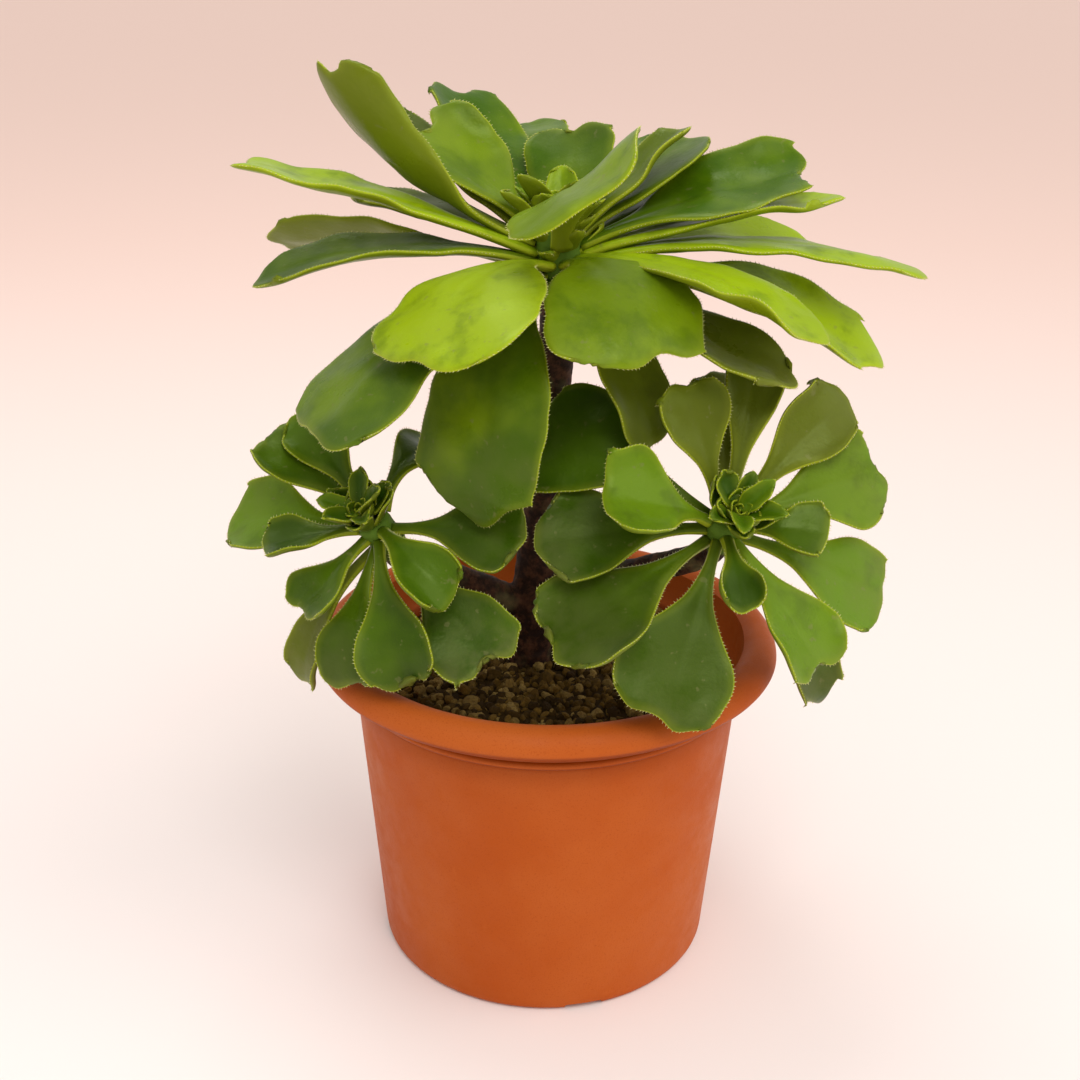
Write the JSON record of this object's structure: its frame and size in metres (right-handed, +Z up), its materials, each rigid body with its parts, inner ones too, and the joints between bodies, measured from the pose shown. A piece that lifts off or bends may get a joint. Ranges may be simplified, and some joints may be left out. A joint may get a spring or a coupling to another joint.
{
  "type": "potted succulent",
  "caption": "Branching rosette succulent with broad spoon-shaped leaves, in gritty soil in a round moulded nursery pot with a flared lip.",
  "frame": {"origin": "centre of the pot's flat bottom, on the surface that the pot stands on", "axes": "+Z up along the pot's axis and the plant's height, -Y towards the side where the two smaller rosettes lean out, +X to that side's right"},
  "size_m": [0.1732, 0.1224, 0.2335],
  "materials": {
    "pot": "matte moulded terracotta-coloured plastic, finely speckled",
    "soil": "coarse gritty potting mix",
    "stem": "dark woody stem with leaf scars",
    "leaf": "waxy fleshy leaf with a soft gloss and a pale toothed margin",
    "bud": "young waxy leaves with a soft gloss"
  },
  "bodies": {
    "root": {"left_bud": "bud", "left_leaf_01": "leaf", "left_leaf_02": "leaf", "left_leaf_03": "leaf", "left_leaf_04": "leaf", "left_leaf_05": "leaf", "left_leaf_06": "leaf", "left_leaf_07": "leaf", "left_leaf_08": "leaf", "left_leaf_09": "leaf", "left_leaf_10": "leaf", "left_leaf_11": "leaf", "left_leaf_12": "leaf", "pot": "pot", "right_bud": "bud", "right_leaf_01": "leaf", "right_leaf_02": "leaf", "right_leaf_03": "leaf", "right_leaf_04": "leaf", "right_leaf_05": "leaf", "right_leaf_06": "leaf", "right_leaf_07": "leaf", "right_leaf_08": "leaf", "right_leaf_09": "leaf", "right_leaf_10": "leaf", "right_leaf_11": "leaf", "right_leaf_12": "leaf", "right_leaf_13": "leaf", "right_leaf_14": "leaf", "right_leaf_15": "leaf", "soil": "soil", "stem": "stem", "top_bud": "bud", "top_leaf_01": "leaf", "top_leaf_02": "leaf", "top_leaf_03": "leaf", "top_leaf_04": "leaf", "top_leaf_05": "leaf", "top_leaf_06": "leaf", "top_leaf_07": "leaf", "top_leaf_08": "leaf", "top_leaf_09": "leaf", "top_leaf_10": "leaf", "top_leaf_11": "leaf", "top_leaf_12": "leaf", "top_leaf_13": "leaf", "top_leaf_14": "leaf", "top_leaf_15": "leaf", "top_leaf_16": "leaf", "top_leaf_17": "leaf", "top_leaf_18": "leaf", "top_leaf_19": "leaf", "top_leaf_20": "leaf", "top_leaf_21": "leaf", "top_leaf_22": "leaf", "top_leaf_23": "leaf", "top_leaf_24": "leaf", "top_leaf_25": "leaf", "top_leaf_26": "leaf", "top_leaf_27": "leaf"}
  },
  "joints": []
}
